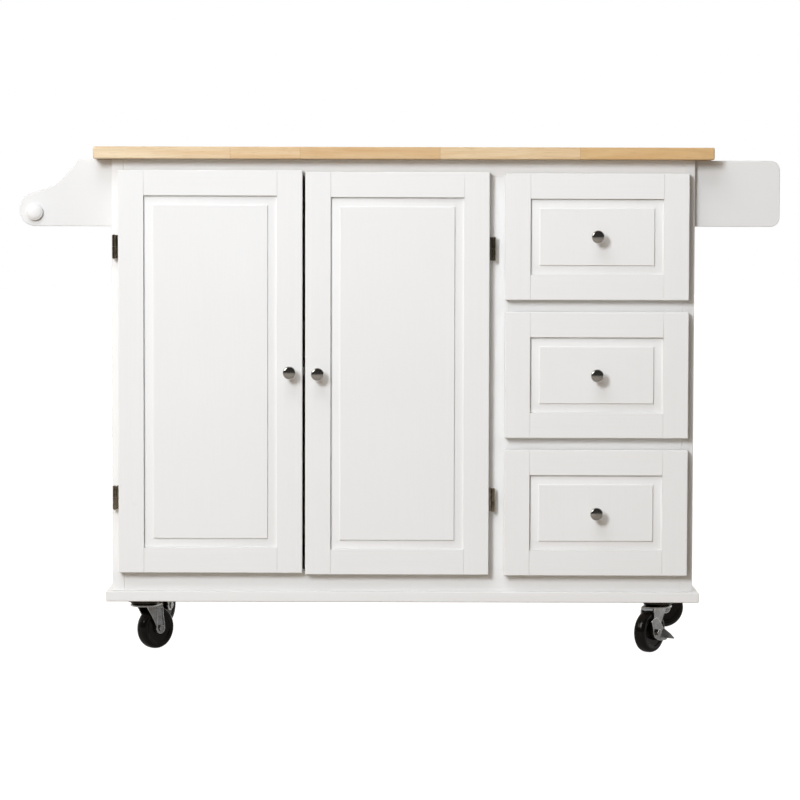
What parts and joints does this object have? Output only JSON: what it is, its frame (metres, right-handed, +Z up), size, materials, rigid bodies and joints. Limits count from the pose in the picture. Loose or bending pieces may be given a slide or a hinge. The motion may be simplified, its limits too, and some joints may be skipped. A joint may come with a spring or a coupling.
{
  "type": "kitchen island cart",
  "caption": "Rolling kitchen island cart with a butcher-block worktop, raised-panel cupboard doors, drawers, a towel rack, a spice rack and swivel casters.",
  "frame": {"origin": "centre of the overall box, on the floor under the casters", "axes": "+X to the cart's right as its doors are faced, +Y to its back, +Z up"},
  "size_m": [1.368, 0.527, 0.914],
  "materials": {
    "white_paint": "satin white paint over wood and board",
    "worktop_wood": "oiled butcher block",
    "drawer_wood": "clear-coated plain wood",
    "nickel": "polished nickel plate",
    "zinc": "bright zinc plate",
    "wheel_rubber": "black moulded tread"
  },
  "bodies": {
    "cabinet": {"worktop": "worktop_wood", "left_side_panel": "white_paint", "right_side_panel": "white_paint", "back_panel": "white_paint", "floor_panel": "white_paint", "base_plinth": "white_paint", "divider_panel": "white_paint", "face_top_rail": "white_paint", "face_bottom_rail": "white_paint", "face_centre_stile": "white_paint", "face_drawer_rail_lower": "white_paint", "face_drawer_rail_upper": "white_paint", "adjustable_shelf": "white_paint", "towel_bracket_front": "white_paint", "towel_bracket_rear": "white_paint", "towel_rod": "white_paint", "towel_cap_front": "white_paint", "towel_cap_rear": "white_paint", "spice_end_front": "white_paint", "spice_end_rear": "white_paint", "spice_shelf": "white_paint", "spice_rail": "white_paint", "left_upper_hinge_frame_leaf": "nickel", "left_lower_hinge_frame_leaf": "nickel", "right_upper_hinge_frame_leaf": "nickel", "right_lower_hinge_frame_leaf": "nickel", "front_left_caster_plate": "zinc", "front_right_caster_plate": "zinc", "rear_left_caster_plate": "zinc", "rear_right_caster_plate": "zinc"},
    "left_door": {"left_door_frame": "white_paint", "left_door_panel": "white_paint", "left_door_knob": "nickel", "left_upper_hinge_door_leaf": "nickel", "left_lower_hinge_door_leaf": "nickel"},
    "right_door": {"right_door_frame": "white_paint", "right_door_panel": "white_paint", "right_door_knob": "nickel", "right_upper_hinge_door_leaf": "nickel", "right_lower_hinge_door_leaf": "nickel"},
    "upper_drawer": {"upper_drawer_front": "white_paint", "upper_drawer_box": "drawer_wood", "upper_drawer_knob": "nickel"},
    "middle_drawer": {"middle_drawer_front": "white_paint", "middle_drawer_box": "drawer_wood", "middle_drawer_knob": "nickel"},
    "lower_drawer": {"lower_drawer_front": "white_paint", "lower_drawer_box": "drawer_wood", "lower_drawer_knob": "nickel"},
    "front_left_swivel": {"front_left_caster_fork": "zinc"},
    "front_left_wheel": {"front_left_caster_wheel": "wheel_rubber"},
    "front_right_swivel": {"front_right_caster_fork": "zinc"},
    "front_right_wheel": {"front_right_caster_wheel": "wheel_rubber"},
    "front_right_brake": {"front_right_brake_lever": "zinc"},
    "rear_left_swivel": {"rear_left_caster_fork": "zinc"},
    "rear_left_wheel": {"rear_left_caster_wheel": "wheel_rubber"},
    "rear_right_swivel": {"rear_right_caster_fork": "zinc"},
    "rear_right_wheel": {"rear_right_caster_wheel": "wheel_rubber"},
    "rear_right_brake": {"rear_right_brake_lever": "zinc"}
  },
  "joints": [
    {"name": "left_door_hinge", "type": "hinge", "parent": "cabinet", "child": "left_door", "pos_m": [-0.512, -0.2255, 0.5105], "axis": [0, 0, 1], "range_deg": [-140, 0]},
    {"name": "right_door_hinge", "type": "hinge", "parent": "cabinet", "child": "right_door", "pos_m": [0.17, -0.2255, 0.508], "axis": [0, 0, -1], "range_deg": [-95, 0]},
    {"name": "upper_drawer_slide", "type": "slide", "parent": "cabinet", "child": "upper_drawer", "axis": [0, -1, 0], "range_m": [0, 0.28]},
    {"name": "middle_drawer_slide", "type": "slide", "parent": "cabinet", "child": "middle_drawer", "axis": [0, -1, 0], "range_m": [0, 0.28]},
    {"name": "lower_drawer_slide", "type": "slide", "parent": "cabinet", "child": "lower_drawer", "axis": [0, -1, 0], "range_m": [0, 0.28]},
    {"name": "front_left_swivel_turn", "type": "hinge", "parent": "cabinet", "child": "front_left_swivel", "pos_m": [-0.4635, -0.1605, 0.08], "axis": [0, 0, 1], "continuous": true},
    {"name": "front_left_wheel_spin", "type": "hinge", "parent": "front_left_swivel", "child": "front_left_wheel", "pos_m": [-0.44544, -0.1418, 0.038], "axis": [-0.7193, 0.6947, 0], "continuous": true},
    {"name": "front_right_swivel_turn", "type": "hinge", "parent": "cabinet", "child": "front_right_swivel", "pos_m": [0.4725, -0.1605, 0.08], "axis": [0, 0, 1], "continuous": true},
    {"name": "front_right_wheel_spin", "type": "hinge", "parent": "front_right_swivel", "child": "front_right_wheel", "pos_m": [0.45649, -0.18099, 0.038], "axis": [0.788, -0.6157, 0], "continuous": true},
    {"name": "front_right_brake_press", "type": "hinge", "parent": "front_right_swivel", "child": "front_right_brake", "pos_m": [0.45649, -0.18099, 0.038], "axis": [0.788, -0.6157, 0], "range_deg": [0, 30]},
    {"name": "rear_left_swivel_turn", "type": "hinge", "parent": "cabinet", "child": "rear_left_swivel", "pos_m": [-0.466, 0.1795, 0.08], "axis": [0, 0, 1], "continuous": true},
    {"name": "rear_left_wheel_spin", "type": "hinge", "parent": "rear_left_swivel", "child": "rear_left_wheel", "pos_m": [-0.45711, 0.20393, 0.038], "axis": [-0.9397, 0.342, 0], "continuous": true},
    {"name": "rear_right_swivel_turn", "type": "hinge", "parent": "cabinet", "child": "rear_right_swivel", "pos_m": [0.4865, 0.1795, 0.08], "axis": [0, 0, 1], "continuous": true},
    {"name": "rear_right_wheel_spin", "type": "hinge", "parent": "rear_right_swivel", "child": "rear_right_wheel", "pos_m": [0.51225, 0.18312, 0.038], "axis": [-0.1392, 0.9903, 0], "continuous": true},
    {"name": "rear_right_brake_press", "type": "hinge", "parent": "rear_right_swivel", "child": "rear_right_brake", "pos_m": [0.51225, 0.18312, 0.038], "axis": [-0.1392, 0.9903, 0], "range_deg": [0, 30]}
  ]
}
